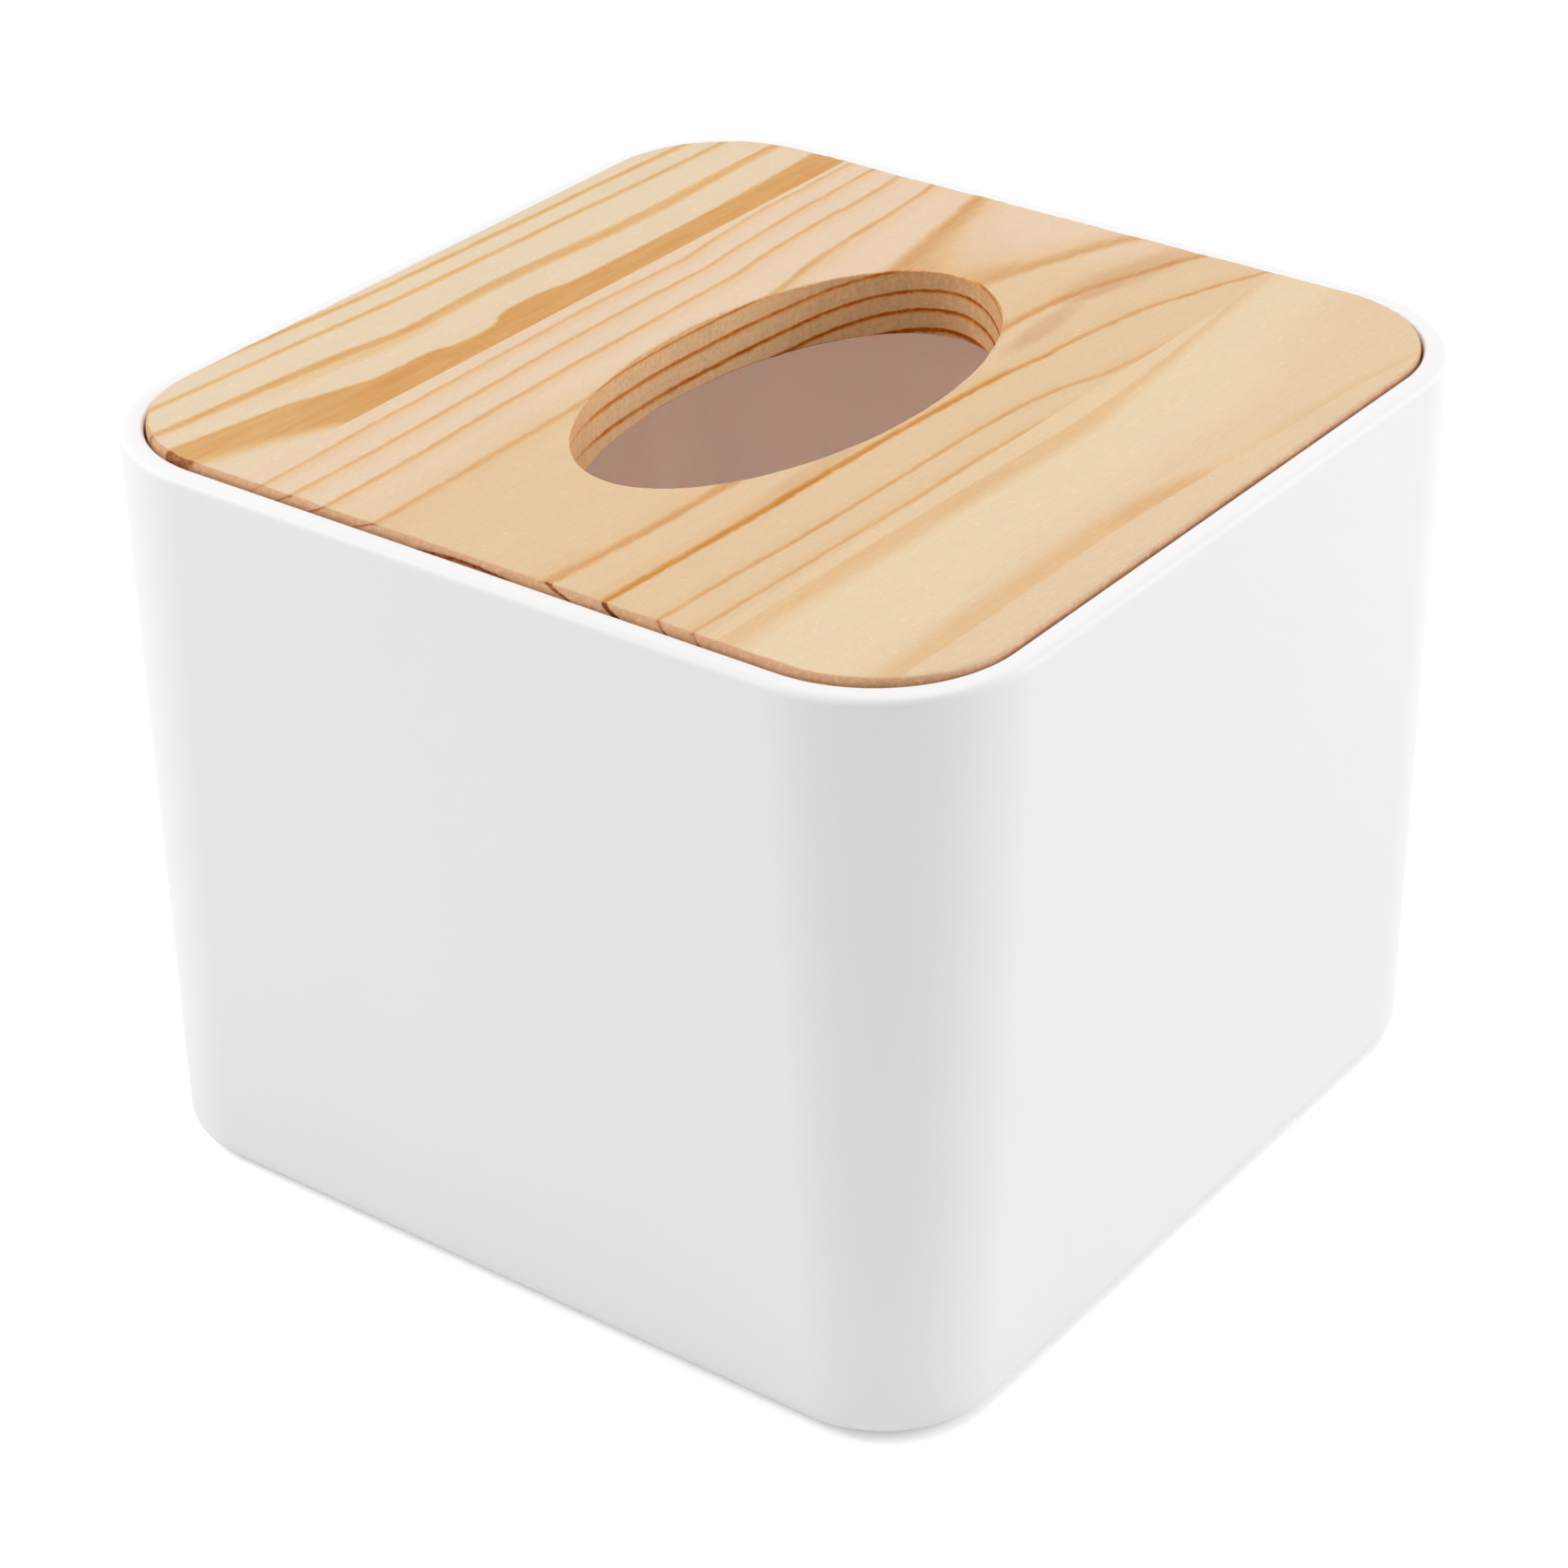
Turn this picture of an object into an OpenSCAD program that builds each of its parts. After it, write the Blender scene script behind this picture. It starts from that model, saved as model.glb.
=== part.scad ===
// Square tissue box cover with a drop-in wooden lid.
// A moulded tub holds the tissues. Near the top its wall steps outwards, and the lid rests
// on that step, a little proud of the rim. The lid is glued up from three boards, and the
// tissues are pulled through the oval slot in the middle board.
// Millimetres, +Z up, origin at the middle of the foot. The slot and the grain run along X.

/* [Tub] */
// Width and depth of the tub over its rim
tub_w = 130; // [118:1:150]
// Height of the rim above the surface that the tub stands on
tub_h = 101.5; // [70:0.5:140]
// How far each side leans in from the rim to the foot, so that the tub leaves its mould
side_draft = 2; // [0.5:0.1:3]
// Radius of the upright corners at the rim
rim_corner_r = 21.5; // [18:0.5:28]
// Radius of the upright corners at the foot
foot_corner_r = 16; // [12:0.5:20]
// Rounding where the sides turn under the tub
foot_fillet_r = 3; // [1.5:0.5:4]
// Thickness of the wall at the rim, beside the lid
rim_w = 3.1; // [2.2:0.1:4]
// Rounding of the outer edge of the rim
rim_outer_r = 1.2; // [0.4:0.1:1.4]
// Rounding of the inner edge of the rim
rim_inner_r = 0.5; // [0.2:0.1:0.7]

/* [Inside of the tub] */
// Width of the step that the lid rests on
seat_w = 1.8; // [1.2:0.1:3]
// Rounding of the free edge of the step
seat_edge_r = 0.4; // [0.2:0.1:0.8]
// How far each inner side leans in from the step to the floor
core_draft = 0.4; // [0:0.1:0.8]
// Thickness of the floor
floor_t = 2.6; // [2:0.1:4]
// Rounding between the inner sides and the floor
floor_fillet_r = 2.5; // [1:0.5:4]

/* [Underside of the tub] */
// Width of the flat ring that the tub stands on
foot_ring_w = 5; // [3:0.5:8]
// How far the underside is raised inside the ring
foot_recess_h = 0.8; // [0.4:0.1:1.5]

/* [Lid] */
// Thickness of the lid
lid_t = 9; // [6:0.5:14]
// How far the lid stands above the rim
lid_proud = 0.7; // [0:0.1:3]
// Gap between the lid and the rim on each side
lid_gap = 0.3; // [0.2:0.1:0.8]
// Rounding of the lid's upper edge
lid_edge_r = 0.8; // [0.2:0.1:2]
// Rounding of the lid's lower edge
lid_under_r = 0.5; // [0.2:0.1:1]
// Width of the board at the back of the lid
back_board_w = 25.7; // [15:0.1:32]
// Width of the board at the front of the lid
front_board_w = 28.5; // [15:0.1:32]

/* [Slot] */
// Length of the oval slot, along the grain
slot_l = 73.7; // [50:0.1:90]
// Width of the oval slot
slot_w = 38.6; // [25:0.1:50]
// Rounding of the slot's upper and lower edges
slot_edge_r = 0.4; // [0.2:0.1:2]

/* [Hidden] */

// How far a cutting shape runs past what it cuts
overrun = 1;
// The tightest corner that a ring of the underside may have
least_corner_r = 1;
// Flat facets in an upright corner, in a small rounding, and all round the slot
corner_steps = 12;
round_steps = 5;
slot_steps = 96;

quarter_turn = 90;
full_turn = 360;

tub_half = tub_w / 2;
mouth_half = tub_half - rim_w;
mouth_corner_r = rim_corner_r - rim_w;
seat_half = mouth_half - seat_w;
seat_z = tub_h + lid_proud - lid_t;
floor_z = foot_recess_h + floor_t;

lid_half = mouth_half - lid_gap;
lid_corner_r = mouth_corner_r - lid_gap;
lid_top_z = seat_z + lid_t;
back_joint_y = lid_half - back_board_w;
front_joint_y = front_board_w - lid_half;

// Half width and corner radius of the tub's outer skin at height z
function skin_half(z) = tub_half - side_draft * (1 - z / tub_h);
function skin_corner_r(z) = foot_corner_r + (rim_corner_r - foot_corner_r) * z / tub_h;

// Half width of the inside below the step, which leans in a little down to the floor
function core_half(z) = seat_half - core_draft * (seat_z - z) / (seat_z - floor_z);

// Rings are [half width, corner radius, height]. These lie in by inset from the outer skin,
// from the inner sides below the step, from the mouth beside the lid, and from the lid's edge.
function skin_ring(inset, z) =
    [skin_half(z) - inset, max(skin_corner_r(z) - inset, least_corner_r), z];
function core_ring(inset, z) = skin_ring(skin_half(z) - core_half(z) + inset, z);
function mouth_ring(inset, z) = [mouth_half - inset, mouth_corner_r - inset, z];
function lid_ring(inset, z) = [lid_half - inset, lid_corner_r - inset, z];

// Points [across, up] of a quarter round that leaves level and ends upright, and of one
// that leaves upright and ends level
function level_to_upright(r) =
    [for (k = [0:round_steps]) let (a = quarter_turn * k / round_steps)
        [r * sin(a), r * (1 - cos(a))]];
function upright_to_level(r) =
    [for (k = [0:round_steps]) let (a = quarter_turn * k / round_steps)
        [r * (1 - cos(a)), r * sin(a)]];

// The points of a rounded square ring, counter-clockwise from above
function square_points(ring) =
    let (r = ring[1], c = ring[0] - r)
    [for (q = [0:3], k = [0:corner_steps])
        let (a = quarter_turn * (q + k / corner_steps), middle = quarter_turn * (q + 1 / 2))
        [c * sign(cos(middle)) + r * cos(a), c * sign(sin(middle)) + r * sin(a), ring[2]]];

// The points of the slot's oval at height z, let out evenly by grow
function oval_points(grow, z) =
    [for (k = [0:slot_steps - 1])
        let (
            a = full_turn * k / slot_steps,
            out = [slot_w * cos(a), slot_l * sin(a)],
            rim = [slot_l * cos(a), slot_w * sin(a)] / 2 + grow * out / norm(out)
        )
        [rim[0], rim[1], z]];

// A closed solid through a stack of point rings, each with as many points as the first
module skin(rings) {
    n = len(rings[0]);
    last = (len(rings) - 1) * n;
    polyhedron(
        points = [for (ring = rings) each ring],
        faces = concat(
            [[for (j = [0:n - 1]) j]],
            [for (i = [0:n:last - n], j = [0:n - 1]) [i + j, i + n + j, i + n + (j + 1) % n]],
            [for (i = [0:n:last - n], j = [0:n - 1]) [i + j, i + n + (j + 1) % n, i + (j + 1) % n]],
            [[for (j = [n - 1:-1:0]) last + j]]
        )
    );
}

module square_skin(rings) {
    skin([for (ring = rings) square_points(ring)]);
}

// The tub is one skin: from the middle of its underside out to the foot, up the outside,
// over the rim, down past the step to the floor, and in to the middle again
module tub() {
    ring_inset = foot_fillet_r + foot_ring_w;
    underside = [
        skin_ring(ring_inset + foot_recess_h, foot_recess_h),
        skin_ring(ring_inset, 0)
    ];
    foot = [for (p = level_to_upright(foot_fillet_r))
        skin_ring(foot_fillet_r - p[0], p[1])];
    rim_outside = [for (p = upright_to_level(rim_outer_r))
        skin_ring(p[0], tub_h - rim_outer_r + p[1])];
    rim_inside = [for (p = level_to_upright(rim_inner_r))
        mouth_ring(p[0] - rim_inner_r, tub_h - p[1])];
    seat_corner = [mouth_ring(0, seat_z)];
    seat_edge = [for (p = level_to_upright(seat_edge_r))
        core_ring(p[0] - seat_edge_r, seat_z - p[1])];
    floor_fillet = [for (p = upright_to_level(floor_fillet_r))
        core_ring(p[0], floor_z + floor_fillet_r - p[1])];
    color("whitesmoke")
        square_skin(concat(underside, foot, rim_outside, rim_inside, seat_corner,
            seat_edge, floor_fillet));
}

// The lid before it is split into its boards, with its upper and lower edges rounded
module lid_blank() {
    under = [for (p = level_to_upright(lid_under_r))
        lid_ring(lid_under_r - p[0], seat_z + p[1])];
    top = [for (p = upright_to_level(lid_edge_r))
        lid_ring(p[0], lid_top_z - lid_edge_r + p[1])];
    square_skin(concat(under, top));
}

// What the slot takes out of the lid, wider where its edges are rounded
module slot_cut() {
    lower = [for (p = level_to_upright(slot_edge_r))
        oval_points(slot_edge_r - p[0], seat_z + p[1])];
    upper = [for (p = upright_to_level(slot_edge_r))
        oval_points(p[0], lid_top_z - slot_edge_r + p[1])];
    skin(concat(
        [oval_points(slot_edge_r, seat_z - overrun)],
        lower,
        upper,
        [oval_points(slot_edge_r, lid_top_z + overrun)]
    ));
}

// The part of the lid between two lines along the grain
module board(low_y, high_y) {
    intersection() {
        lid_blank();
        translate([-lid_half - overrun, low_y, seat_z - overrun])
            cube([2 * (lid_half + overrun), high_y - low_y, lid_t + 2 * overrun]);
    }
}

module lid_board_back() {
    color("#E9D3A0") board(back_joint_y, lid_half + overrun);
}

module lid_board_middle() {
    color("#EBCBA3")
        difference() {
            board(front_joint_y, back_joint_y);
            slot_cut();
        }
}

module lid_board_front() {
    color("#ECD2A0") board(-lid_half - overrun, front_joint_y);
}

tub();
lid_board_back();
lid_board_middle();
lid_board_front();
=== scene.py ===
"""Looks of a square tissue box cover: a moulded tub and a lid glued up from three pine boards.

Sizes are in millimetres, as a maker gives them, and turn into metres where a mesh is made.
Up is +Z, the origin is the middle of the foot, and the slot and the grain run along X.
The back of the lid is towards +Y and its front towards -Y.
"""

import logging
import math
from dataclasses import dataclass, field
from enum import Enum
from typing import Any, Sequence

import bpy
from bpy.types import ID, ColorRamp, Material, Node, NodeSocket, NodeTree, Object
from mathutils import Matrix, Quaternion, Vector, noise

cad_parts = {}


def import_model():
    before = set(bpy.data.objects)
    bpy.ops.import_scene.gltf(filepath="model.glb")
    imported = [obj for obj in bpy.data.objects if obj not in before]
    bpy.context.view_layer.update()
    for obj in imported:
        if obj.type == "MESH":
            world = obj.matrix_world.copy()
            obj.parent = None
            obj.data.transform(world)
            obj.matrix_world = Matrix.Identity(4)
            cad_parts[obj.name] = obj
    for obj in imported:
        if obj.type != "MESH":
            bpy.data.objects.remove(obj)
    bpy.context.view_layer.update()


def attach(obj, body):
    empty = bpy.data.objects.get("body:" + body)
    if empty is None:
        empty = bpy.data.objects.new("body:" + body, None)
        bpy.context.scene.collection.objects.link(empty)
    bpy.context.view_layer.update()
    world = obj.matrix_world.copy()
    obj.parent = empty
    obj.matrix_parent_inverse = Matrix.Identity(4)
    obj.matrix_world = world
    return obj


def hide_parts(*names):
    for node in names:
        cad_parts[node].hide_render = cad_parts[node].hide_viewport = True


MM = 0.001
LOG = logging.getLogger("tissue_box_cover")

# The types of node that come up often, and the settings that they come with
MATH = "ShaderNodeMath"
VECTOR_MATH = "ShaderNodeVectorMath"
MAP_RANGE = "ShaderNodeMapRange"
MIX = "ShaderNodeMix"
NOISE = "ShaderNodeTexNoise"
BUMP = "ShaderNodeBump"
PRINCIPLED = "ShaderNodeBsdfPrincipled"
OUTPUT = "ShaderNodeOutputMaterial"
ADD = {"operation": "ADD"}
SUBTRACT = {"operation": "SUBTRACT"}
MULTIPLY = {"operation": "MULTIPLY"}
MULTIPLY_ADD = {"operation": "MULTIPLY_ADD"}
MAXIMUM = {"operation": "MAXIMUM"}
ABSOLUTE = {"operation": "ABSOLUTE"}
SCALE = {"operation": "SCALE"}
SMOOTH = {"interpolation_type": "SMOOTHSTEP"}
NUMBERS = {"data_type": "FLOAT"}
COLOURS = {"data_type": "RGBA"}
TINT = {"data_type": "RGBA", "blend_type": "MULTIPLY"}

# The middle of the values that a noise node gives
NOISE_MIDDLE = 0.5

# Paths along the grain run this far each way from the lid's middle, in millimetres
PATH_HALF = 61.8
# Room above and below the values of a path, in the curve that draws it
PATH_SLACK = 0.05

Flat = tuple[float, float]
Point = tuple[float, float, float]
Ring = list[Point]
Colour = tuple[float, float, float, float]
# Places and values along the grain, and colours by how dark the wood is
Path = tuple[Flat, ...]
Tones = tuple[tuple[float, str], ...]
# What feeds an input of a node: a socket, or a node by its first output in use
Source = Node | NodeSocket


class Body(Enum):
    """The bodies of the part that a piece rides on."""

    TUB = "tub"
    LID = "lid"


class Slot(Enum):
    """Names for the finishes of the part's pieces, by which the lid's boards are kept."""

    ABS = "moulded_abs"
    PINE_BACK = "pine_back"
    PINE_MIDDLE = "pine_middle"
    PINE_FRONT = "pine_front"


class Start(Enum):
    """How a quarter round leaves its first point."""

    LEVEL = "level"
    UPRIGHT = "upright"


class Ends(Enum):
    """What closes a stack of rings."""

    CAPPED = "capped"
    JOINED = "joined"


class Side(Enum):
    """The two outer boards of the lid, by the sign of Y on their side."""

    BACK = 1
    FRONT = -1


def linear(colour: str) -> Colour:
    """Turns an sRGB hex colour into linear values.

    Args:
        colour: A colour such as "#E9D3A0".

    Returns:
        Linear red, green and blue, and an alpha of one.
    """
    parts = [int(colour[k:k + 2], 16) / 255 for k in (1, 3, 5)]
    values = [c / 12.92 if c <= 0.04045 else ((c + 0.055) / 1.055) ** 2.4 for c in parts]
    return (values[0], values[1], values[2], 1.0)


def grey(tone: float) -> Colour:
    """A grey of one linear value."""
    return (tone, tone, tone, 1.0)


def along_grain(first: float, *between: Flat, last: float) -> Path:
    """A path by its values at the two ends of the grain and at the places between."""
    return ((-PATH_HALF, first), *between, (PATH_HALF, last))


def add_node(
    tree: NodeTree,
    kind: str,
    settings: dict[str, Any] | None = None,
    inputs: dict[str | int, Any] | None = None,
) -> Node:
    """Adds a node with its settings and its links.

    Args:
        tree: The node tree that the node goes into.
        kind: The node's type name.
        settings: Values for the node's own properties.
        inputs: For each input in use, by name or number, a value or what feeds it.

    Returns:
        The new node.
    """
    node = tree.nodes.new(kind)
    for name, value in (settings or {}).items():
        setattr(node, name, value)
    # Of inputs that share a name, the first in use is meant
    named = {socket.name: socket for socket in reversed(node.inputs) if socket.enabled}
    for name, value in (inputs or {}).items():
        target = node.inputs[name] if isinstance(name, int) else named[name]
        if isinstance(value, Node):
            value = next(socket for socket in value.outputs if socket.enabled)
        if isinstance(value, NodeSocket):
            tree.links.new(value, target)
        else:
            target.default_value = value
    return node


def fill_ramp(ramp: ColorRamp, stops: Sequence[tuple[float, Colour]]) -> None:
    """Gives a colour ramp its stops.

    Args:
        ramp: The ramp.
        stops: Positions from 0 to 1, rising, each with its colour.
    """
    while len(ramp.elements) > 1:
        ramp.elements.remove(ramp.elements[-1])
    ramp.elements[0].position = stops[0][0]
    ramp.elements[0].color = stops[0][1]
    for position, colour in stops[1:]:
        ramp.elements.new(position).color = colour


def new_material(name: str) -> tuple[Material, NodeTree]:
    """Makes an empty node material.

    Args:
        name: The material's name.

    Returns:
        The material and its empty node tree.
    """
    material = bpy.data.materials.new(name)
    material.use_nodes = True
    material.node_tree.nodes.clear()
    return material, material.node_tree


def add_object(name: str, data: ID) -> Object:
    """Puts a mesh, lamp or camera into the scene as an object.

    Args:
        name: The object's name.
        data: What it shows.

    Returns:
        The object.
    """
    thing = bpy.data.objects.new(name, data)
    bpy.context.scene.collection.objects.link(thing)
    return thing


def quarter_round(radius: float, steps: int, start: Start) -> list[Flat]:
    """Gives the points of a quarter round.

    Args:
        radius: Its radius.
        steps: The number of flats in it.
        start: Whether it leaves its first point level or upright.

    Returns:
        Points as (across, up) from its first point.
    """
    turns = [math.pi / 2 * k / steps for k in range(steps + 1)]
    if start is Start.LEVEL:
        return [(radius * math.sin(a), radius * (1 - math.cos(a))) for a in turns]
    return [(radius * (1 - math.cos(a)), radius * math.sin(a)) for a in turns]


def square_ring(half: float, corner_r: float, z: float, steps: int) -> Ring:
    """Gives a level rounded square, counter-clockwise from above.

    Args:
        half: Half its width.
        corner_r: Radius of its corners.
        z: Its height.
        steps: The number of flats in each corner.

    Returns:
        The ring's points.
    """
    centre = half - corner_r
    ring = []
    for quarter in range(4):
        middle = math.pi / 2 * (quarter + 0.5)
        for k in range(steps + 1):
            a = math.pi / 2 * (quarter + k / steps)
            ring.append((
                centre * math.copysign(1, math.cos(middle)) + corner_r * math.cos(a),
                centre * math.copysign(1, math.sin(middle)) + corner_r * math.sin(a),
                z,
            ))
    return ring


def loft(name: str, rings: Sequence[Ring], ends: Ends, sharp_angle: float) -> Object:
    """Makes a closed smooth skin through a stack of rings with equal numbers of points.

    Args:
        name: The piece's name.
        rings: The rings in millimetres, each counter-clockwise from above, from the underside
            up the outside and down the inside.
        ends: Whether flat faces close the first and last rings, or the last joins the first.
        sharp_angle: The angle in degrees between two faces from which their edge stays sharp.

    Returns:
        The new object, in metres.
    """
    count = len(rings[0])
    pairs = [(k, k + 1) for k in range(len(rings) - 1)]
    if ends is Ends.JOINED:
        pairs.append((len(rings) - 1, 0))
    faces = [
        (low * count + j, low * count + (j + 1) % count, high * count + (j + 1) % count, high * count + j)
        for low, high in pairs
        for j in range(count)
    ]
    if ends is Ends.CAPPED:
        last = (len(rings) - 1) * count
        faces += [tuple(reversed(range(count))), tuple(range(last, last + count))]
    mesh = bpy.data.meshes.new(name)
    mesh.from_pydata([Vector(p) * MM for ring in rings for p in ring], [], faces)
    mesh.shade_smooth()
    mesh.set_sharp_from_angle(angle=math.radians(sharp_angle))
    piece = add_object(name, mesh)
    piece.modifiers.new("weighted_normals", "WEIGHTED_NORMAL").keep_sharp = True
    return piece


def place(piece: Object, body: Body, node: str, finish: Material) -> None:
    """Dresses a piece, hangs it on the body that it rides on and hides the solid that it stands for.

    Args:
        piece: The piece, in place.
        body: The body that it rides on.
        node: The solid that it stands for.
        finish: Its material.
    """
    piece.data.materials.append(finish)
    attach(piece, body.value)
    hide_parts(node)


@dataclass(frozen=True)
class MouldedAbs:
    """White ABS, injection moulded in a tool with a fine satin texture.

    It gives the eye a soft even white, with a broad pale sheen on the rounded rim and no
    sharp mirror image.
    """

    colour: str = "#F0EFEF"
    shade: str = "#EDECEC"
    # The inside of the wall is a lit copy of the plastic: its colour is painted lighter and warmer than the
    # outside's, as painted light for the light that comes through the wall and off the wood
    inside: str = "#FBF4F0"
    # Its lowest and highest roughness
    roughness: Flat = (0.5, 0.58)
    ior: float = 1.54
    # The tool's texture has a grain of about 0.05 mm, drawn here at 0.35 mm so that it shows
    texture_grain: float = 0.35
    texture_depth: float = 0.004
    # Slow waves of the moulded wall, tens of millimetres apart
    wave_length: float = 45.0
    wave_depth: float = 0.03
    # White plastic is milky. It shows on the inside, where it is dark and the light that comes
    # through the thin wall reaches the eye, with the most red in it.
    glow_depth: Point = (17.0, 7.5, 5.6)

    def material(self, name: str, colours: tuple[str, str], milkiness: float) -> Material:
        """Makes the material.

        Args:
            name: The material's name.
            colours: The two colours that the slow waves run between.
            milkiness: How much of its light comes from inside the plastic, from 0 to 1.

        Returns:
            The satin white plastic.
        """
        material, tree = new_material(name)
        spot = add_node(tree, "ShaderNodeTexCoord").outputs["Object"]
        grain, wave = (
            add_node(tree, NOISE, {}, {"Vector": spot, "Scale": 1 / (size * MM), "Detail": detail})
            for size, detail in ((self.texture_grain, 2.0), (self.wave_length, 1.0))
        )
        tone = add_node(
            tree, MIX, COLOURS, {"Factor": wave, "A": linear(colours[0]), "B": linear(colours[1])}
        )
        low, high = self.roughness
        roughness = add_node(tree, MAP_RANGE, {}, {"Value": grain, "To Min": low, "To Max": high})
        slow = add_node(tree, BUMP, {}, {"Height": wave, "Distance": self.wave_depth * MM})
        fine = add_node(
            tree, BUMP, {}, {"Height": grain, "Distance": self.texture_depth * MM, "Normal": slow}
        )
        surface = add_node(
            tree, PRINCIPLED, {},
            {
                "Base Color": tone,
                "Roughness": roughness,
                "IOR": self.ior,
                "Subsurface Weight": milkiness,
                "Subsurface Radius": self.glow_depth,
                "Subsurface Scale": MM,
                "Normal": fine,
            },
        )
        add_node(tree, OUTPUT, {}, {"Surface": surface})
        return material


@dataclass(frozen=True)
class GrainSpace:
    """The sockets that a growth pattern draws with, all in millimetres.

    Along runs with the grain, across from the front of the lid to its back, and depth down
    from the lid's top. Share is along as a part of a path's length, from 0 to 1.
    """

    tree: NodeTree
    along: Source
    across: Source
    depth: Source
    share: Source

    def follow(self, path: Path) -> Node:
        """Follows a smooth path along the grain.

        Args:
            path: Points as (along, value), in order along the grain.

        Returns:
            The node that gives the path's value at each place along the grain.
        """
        low = min(value for _, value in path) - PATH_SLACK
        high = max(value for _, value in path) + PATH_SLACK
        spots = [((x / PATH_HALF + 1) / 2, (value - low) / (high - low)) for x, value in path]
        curve = add_node(self.tree, "ShaderNodeFloatCurve", {}, {"Value": self.share})
        line = curve.mapping.curves[0]
        line.points[0].location = spots[0]
        line.points[1].location = spots[-1]
        for spot in spots[1:-1]:
            line.points.new(*spot)
        curve.mapping.update()
        return add_node(self.tree, MATH, MULTIPLY_ADD, {0: curve, 1: high - low, 2: low})


@dataclass(frozen=True)
class RingLine:
    """One growth ring's dark line in a board whose rings are round.

    The wood grows outwards, so the line darkens slowly towards its outer edge and ends there.
    """

    radius: float
    width: float
    darkness: float
    # How dark the wood already is where the line itself starts
    lead_tone: float = 0.12


@dataclass(frozen=True)
class RoundRings:
    """Growth rings round a pith that lies below the board, along the grain.

    The rings are not even: each side of the pith has its own lines, and they meet above it.
    """

    # Where the pith lies across the board and how deep it lies, along the grain
    pith_across: Path = along_grain(1.2, (0, 0.8), (20, 1.3), (36, 2.6), (48, 1.9), last=0.8)
    pith_depth: Path = along_grain(
        44.3, (-30, 44.0), (0, 43.75), (25, 43.5), (36, 43.25), (48, 42.7), last=41.6
    )
    # The rings spread towards the front beyond this far from the pith, most at the far end
    spread_from: float = 12.0
    spread: Path = along_grain(0.0, (-25, 0.01), (0, 0.01), (30, 0.265), (52, 0.34), last=0.365)
    # How much wider or narrower the rings are towards the back
    back_scale: Path = along_grain(
        0.99, (-50, 0.99), (-25, 0.975), (0, 0.965), (30, 1.015), (52, 1.01), last=1.01
    )
    # The lines near the pith run on both sides of it, and then each side has its own
    inner_lines: tuple[RingLine, ...] = (
        RingLine(35.15, 1.1, 0.9), RingLine(37.95, 1.0, 0.8), RingLine(40.65, 0.9, 0.75),
    )
    back_lines: tuple[RingLine, ...] = (
        RingLine(43.6, 0.95, 0.66, 0.1),
        RingLine(46.35, 0.5, 0.6),
        RingLine(49.2, 0.55, 0.56),
        RingLine(51.65, 0.55, 0.54),
        RingLine(54.05, 0.6, 0.46),
    )
    front_lines: tuple[RingLine, ...] = (
        RingLine(43.6, 0.8, 0.7),
        RingLine(46.0, 0.6, 0.72),
        RingLine(48.75, 0.62, 1.2, 0.2),
        RingLine(52.3, 0.6, 0.66),
        RingLine(55.0, 0.65, 0.6),
    )
    # On the front side the lines get thinner and fainter between these places along the grain
    far_from: float = 8.0
    far_to: float = 30.0
    far_lines: tuple[RingLine, ...] = (
        RingLine(43.6, 0.8, 0.62, 0.14),
        RingLine(46.0, 0.55, 0.7),
        RingLine(48.75, 0.4, 0.75),
        RingLine(52.35, 0.6, 0.6),
        RingLine(55.05, 0.7, 0.5),
    )
    # A ring starts to darken this far before its line
    lead: float = 1.3
    # A line starts this many of its widths before its radius, and ends this many beyond it
    rise: float = 0.8
    fall: float = 0.5
    first_r: float = 33.5
    last_r: float = 56.5

    def darkness(self, space: GrainSpace) -> Node:
        """Draws the rings.

        Args:
            space: The board's grain space.

        Returns:
            The node that gives how dark the wood is, from 0 in pale early wood to 1.
        """
        tree = space.tree
        offset = add_node(tree, MATH, SUBTRACT, {0: space.across, 1: space.follow(self.pith_across)})
        on_back = add_node(tree, MATH, {"operation": "GREATER_THAN"}, {0: offset, 1: 0.0})
        away = add_node(tree, MATH, ABSOLUTE, {0: offset})
        past = add_node(tree, MATH, SUBTRACT, {0: away, 1: self.spread_from})
        beyond = add_node(tree, MATH, MAXIMUM, {0: past, 1: 0.0})
        drawn_in = add_node(tree, MATH, MULTIPLY, {0: beyond, 1: space.follow(self.spread)})
        front = add_node(tree, MATH, SUBTRACT, {0: away, 1: drawn_in})
        back = add_node(tree, MATH, MULTIPLY, {0: away, 1: space.follow(self.back_scale)})
        aside = add_node(tree, MIX, NUMBERS, {"Factor": on_back, "A": front, "B": back})
        below = add_node(tree, MATH, SUBTRACT, {0: space.follow(self.pith_depth), 1: space.depth})
        depth_square = add_node(tree, MATH, MULTIPLY, {0: below, 1: below})
        square = add_node(tree, MATH, MULTIPLY_ADD, {0: aside, 1: aside, 2: depth_square})
        radius = add_node(tree, MATH, {"operation": "SQRT"}, {0: square})
        share = add_node(
            tree, MAP_RANGE, {}, {"Value": radius, "From Min": self.first_r, "From Max": self.last_r}
        )
        near_line, far_line, back_line = (
            self.draw(tree, share, lines) for lines in (self.front_lines, self.far_lines, self.back_lines)
        )
        far = add_node(
            tree, MAP_RANGE, SMOOTH,
            {"Value": space.along, "From Min": self.far_from, "From Max": self.far_to},
        )
        front_line = add_node(tree, MIX, NUMBERS, {"Factor": far, "A": near_line, "B": far_line})
        return add_node(tree, MIX, NUMBERS, {"Factor": on_back, "A": front_line, "B": back_line})

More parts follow.
